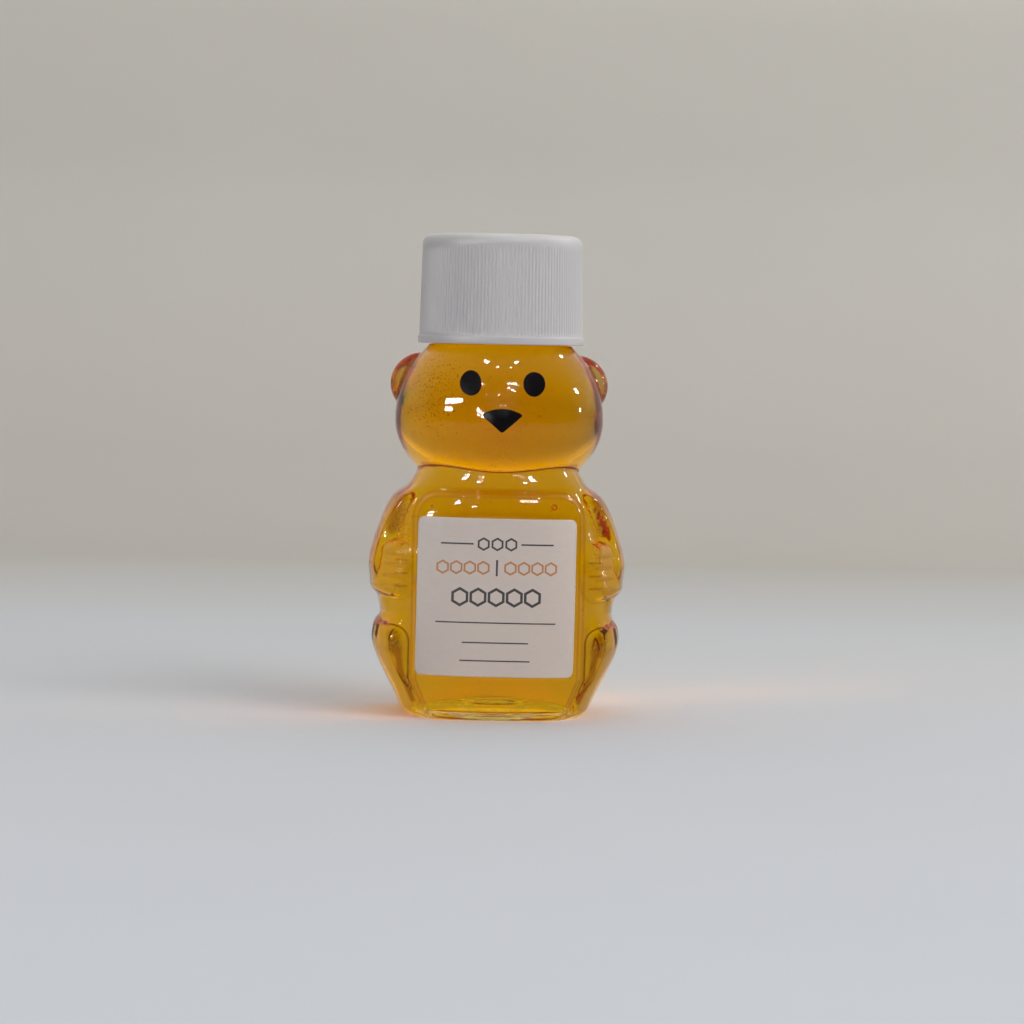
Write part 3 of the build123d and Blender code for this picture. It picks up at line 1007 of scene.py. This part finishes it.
def make_sweep():
    """Floor that curves up into a backdrop, as one sheet of paper."""
    line = [(y, 0.0) for y in np.linspace(-1.6, sweep_bend, 24)]
    for turn in np.linspace(0, 90, 25)[1:]:
        bend = radians(turn)
        line.append((sweep_bend + sweep_radius * sin(bend), sweep_radius * (1 - cos(bend))))
    line.append((sweep_bend + sweep_radius, backdrop_top))
    across = np.linspace(-1.5, 1.5, 21)
    points = [(x, y, z) for y, z in line for x in across]
    count = len(across)
    starts = [row * count + column for row in range(len(line) - 1) for column in range(count - 1)]
    faces = [(start, start + 1, start + count + 1, start + count) for start in starts]
    made = smooth_mesh("sweep", points, faces)
    made.data.materials.append(sweep_paper())


def make_lamp(name, azimuth, elevation, distance, width, height, radiance, lit):
    """Area lamp that faces the bear, from this side and height in degrees."""
    data = bpy.data.lights.new(name, "AREA")
    data.shape = "RECTANGLE"
    data.size, data.size_y = width, height
    data.energy = radiance * pi * width * height
    made = link(name, data)
    turn, lift = radians(azimuth), radians(elevation)
    way = Vector((sin(turn) * cos(lift), -cos(turn) * cos(lift), sin(lift)))
    made.location = Vector((0, 0, lamp_target_height)) + way * distance
    made.rotation_euler = way.to_track_quat("Z", "Y").to_euler()
    made.visible_camera = made.visible_transmission = False
    made.visible_diffuse, made.visible_glossy = lit == "light", lit == "gloss"


def make_room():
    """Room round the table: dark where the camera stands, pale at the sides and above."""
    world = bpy.data.worlds.new("room")
    bpy.context.scene.world = world
    world.use_nodes = True
    tree = world.node_tree
    tree.nodes.clear()
    way = add_node(tree, "TexCoord", output="Generated")
    y, z = [add_node(tree, "SeparateXYZ", {0: way}, output=axis) for axis in ("Y", "Z")]
    smooth = {"interpolation_type": "SMOOTHSTEP"}
    wall_levels = {"Value": y, 1: -0.35, 2: 0.4, 3: room_front, 4: room_sides}
    walls = add_node(tree, "MapRange", wall_levels, **smooth)
    behind = add_node(tree, "MapRange", {"Value": y, 1: 0.0, 2: 0.6}, **smooth)
    above = add_node(tree, "MapRange", {"Value": z + behind * 0.35, 1: 0.4, 2: 0.85}, **smooth)
    zenith = add_node(tree, "MapRange", {"Value": z, 1: 0.62, 2: 0.9, 3: 1.0, 4: room_zenith}, **smooth)
    level = (walls * (1 - above) + above * room_ceiling) * zenith
    tints = {0: above, 6: (1.0, 0.99, 0.97, 1), 7: (1.0, 0.985, 0.96, 1)}
    tint = add_node(tree, "Mix", tints, output=2, data_type="RGBA")
    back = add_node(tree, "Background", {0: tint, 1: level})
    output = tree.nodes.new("ShaderNodeOutputWorld")
    tree.links.new(back.socket, output.inputs[0])


def make_camera():
    """Camera at the photograph's place: level with the cap's foot, looking down a little."""
    turn = radians(camera_azimuth)
    back, right = Vector((sin(turn), -cos(turn), 0)), Vector((cos(turn), sin(turn), 0))
    data = bpy.data.cameras.new("camera")
    data.lens = camera_lens
    data.sensor_width = 36
    data.clip_start = 0.01
    made = link("camera", data)
    place = back * camera_distance + right * camera_shift + Vector((0, 0, camera_height))
    look = Matrix.Rotation(turn, 4, "Z") @ Matrix.Rotation(radians(90 - camera_pitch), 4, "X")
    made.matrix_world = Matrix.Translation(place) @ look @ Matrix.Rotation(radians(camera_roll), 4, "Z")
    bpy.context.scene.camera = made


# Label, eyes and bubbles: across, up and sizes in millimetres
label_half = 12.7
label_corner = 1.0
label_middle = (-0.35, 19.9)
label_tilt = -0.35
label_lean = 0.006
label_thickness = 0.12
print_thickness = 0.07
film_sink = 0.03
# Bars by place across and up, half width and half height
printed_bars = (
    (-6.4, 8.6, 2.6, 0.13), (6.4, 8.6, 2.6, 0.13), (0, 4.8, 0.16, 1.3),
    (0, -4.0, 9.6, 0.11), (0, -7.2, 5.3, 0.11), (0, -10.1, 5.6, 0.11),
)
# Rows of cells by height, pitch, size, line and half width
black_cells = ((8.6, 2.2, 0.95, 0.3, 3.4), (0.1, 2.9, 1.36, 0.42, 7.2))
amber_cells = (4.8, 2.16, 1.0, 0.3, 9.7)
amber_gap = 1.0
eye_half_width = 1.75
eye_half_height = 1.98
eye_wobble = 0.012
eye_middles = ((5.05, 54.1), (-5.05, 54.1))
nose_middle = (0.0, 48.4)
# Clouds by middle across and up, spread across and up, count, smallest and largest radius
bubble_clouds = (
    (-12.0, 52.5, 2.6, 3.6, 620, 0.05, 0.12),
    (-15.2, 32.0, 0.8, 3.0, 260, 0.06, 0.15),
    (16.0, 31.5, 0.8, 3.4, 140, 0.05, 0.11),
    (0.0, 43.5, 1.2, 2.5, 34, 0.05, 0.13),
    (0.0, 50.0, 9.0, 6.0, 110, 0.04, 0.1),
    (0.0, 20.0, 14.0, 11.0, 130, 0.04, 0.1),
)
# Place across and up, depth behind the wall, radius
large_bubbles = (
    (8.6, 34.3, 0.1, 0.55), (-10.6, 34.1, 0.2, 0.3), (-3.6, 34.6, 0.2, 0.2), (13.3, 18.0, 0.1, 0.16),
)
# Painted shade line round each leg: its top, corner, side at the foot, how far the side moves above the
# bend, and its tint
leg_line_top = 15.0
leg_line_corner = 2.6
leg_line_foot = 11.1
leg_line_bend = 3.1
painted_leg_line_shade = (0.20, 0.08, 0.025)

# Camera and stage, in metres
camera_azimuth = -2.0
camera_distance = 0.5
camera_shift = 0.0024
camera_height = 0.063
camera_pitch = 3.45
camera_roll = 1.2
camera_lens = 107.4
sweep_bend = 0.34
sweep_radius = 0.12
# Where the backdrop's painted glow begins and is full, and its colour
backdrop_seen = 0.155
backdrop_top = 0.26
backdrop_glow = (0.42, 0.41, 0.39)
# Place along the sheet from this far in front of the bear, and its colour there, which is painted light and
# shade
sweep_front = 0.3
sweep_painted_light_colours = (
    (0.05, (0.625, 0.655, 0.71)),
    (0.45, (0.585, 0.60, 0.62)),
    (0.62, (0.53, 0.51, 0.47)),
    (0.74, (0.61, 0.58, 0.535)),
    (0.86, (0.77, 0.745, 0.69)),
    (0.95, (0.81, 0.775, 0.705)),
)
honey_colour = (0.988, 0.914, 0.0, 1)
honey_density = 410.0
# What a face of each lets through to its shadow
shell_shade = (0.86, 0.86, 0.86, 1)
bare_shade = (0.9, 0.9, 0.9, 1)
amber_shade = (0.64, 0.615, 0.58, 1)
room_front = 0.06
room_sides = 0.6
room_ceiling = 0.75
room_zenith = 0.45
lamp_target_height = 0.04
plastic_index = 1.57
plastic_shine = 0.28
honey_index = 1.49
# Side and height in degrees, distance, width, height and radiance. A light lamp lights matt faces, and a
# gloss lamp shows in reflections.
lamps = (
    ("soft_right", 55, 40, 1.6, 1.0, 0.8, 4.2, "light"),
    ("soft_front", 10, 30, 1.6, 1.0, 0.8, 0.6, "light"),
    ("overhead", 180, 75, 1.4, 1.4, 1.4, 0.8, "light"),
    ("ceiling_left", -24, 51, 1.5, 0.12, 0.07, 160, "gloss"),
    ("ceiling_right", 25, 50, 1.5, 0.12, 0.07, 160, "gloss"),
    ("ceiling_far_left", -6, 46, 2.0, 0.09, 0.06, 130, "gloss"),
    ("ceiling_far_right", 14, 45, 2.0, 0.09, 0.06, 130, "gloss"),
    ("doorway", 14, 30, 1.5, 0.28, 0.04, 100, "gloss"),
    ("doorway_left", -21, 30, 1.5, 0.10, 0.04, 100, "gloss"),
    ("doorway_middle", -7, 24, 1.5, 0.10, 0.04, 100, "gloss"),
    ("window_upper", -50, 15, 1.5, 0.48, 0.11, 110, "gloss"),
    ("window_lower", -53, 9, 1.5, 0.26, 0.09, 110, "gloss"),
    ("side_high", 96, 20, 1.5, 0.09, 0.09, 90, "gloss"),
    ("side_low", 95, 7, 1.5, 0.07, 0.07, 90, "gloss"),
    ("side_back", 118, 41, 1.5, 0.14, 0.12, 110, "gloss"),
    ("above", 180, 80, 1.5, 0.25, 0.16, 60, "gloss"),
)

make_camera()
make_sweep()
make_room()
for lamp in lamps:
    make_lamp(*lamp)

bare_honey = clear_side("bare_honey", honey_index)
pieces = (
    (make_bottle(), "bottle", ("bottle_shell",), "clear_pet", clear_plastic()),
    (make_honey(), "bottle", ("honey_fill",), "honey", clear_side("honey_amber", 1.0, True)),
    (make_honey_top(), "bottle", ("honey_fill",), "honey", bare_honey),
    (make_bubbles(), "bottle", ("honey_fill",), "honey", bare_honey),
    (make_label(), "bottle", ("front_label",), "label_paper", label_paper()),
    (make_cap(), "cap", ("screw_cap",), "white_cap", white_plastic()),
    (make_liner(), "liner", ("cap_liner",), "liner_foam", foam()),
)
ink = black_ink()
prints = (
    ("left_eye_print", "left_eye", oval(eye_half_width, eye_half_height, eye_wobble), eye_middles[0]),
    ("right_eye_print", "right_eye", oval(eye_half_width, eye_half_height, -eye_wobble), eye_middles[1]),
    ("nose_print", "nose", nose_outline(), nose_middle),
)
for name, node, outline, middle in prints:
    pieces += ((film(name, outline, middle, print_thickness, 14), "bottle", (node,), "black_ink", ink),)
for piece, body, nodes, slot, finish in pieces:
    piece.data.materials.append(finish)
    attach(piece, body)
    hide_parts(*nodes)

pieces[0][0].data.materials.append(clear_side("wetted_plastic", plastic_index / honey_index))

# Light reflects many times inside the honey before it comes out
bpy.context.scene.view_settings.view_transform = "Standard"
bpy.context.scene.cycles.transmission_bounces = 128
bpy.context.scene.cycles.glossy_bounces = 128
bpy.context.scene.cycles.transparent_max_bounces = 128
bpy.context.scene.cycles.max_bounces = 160
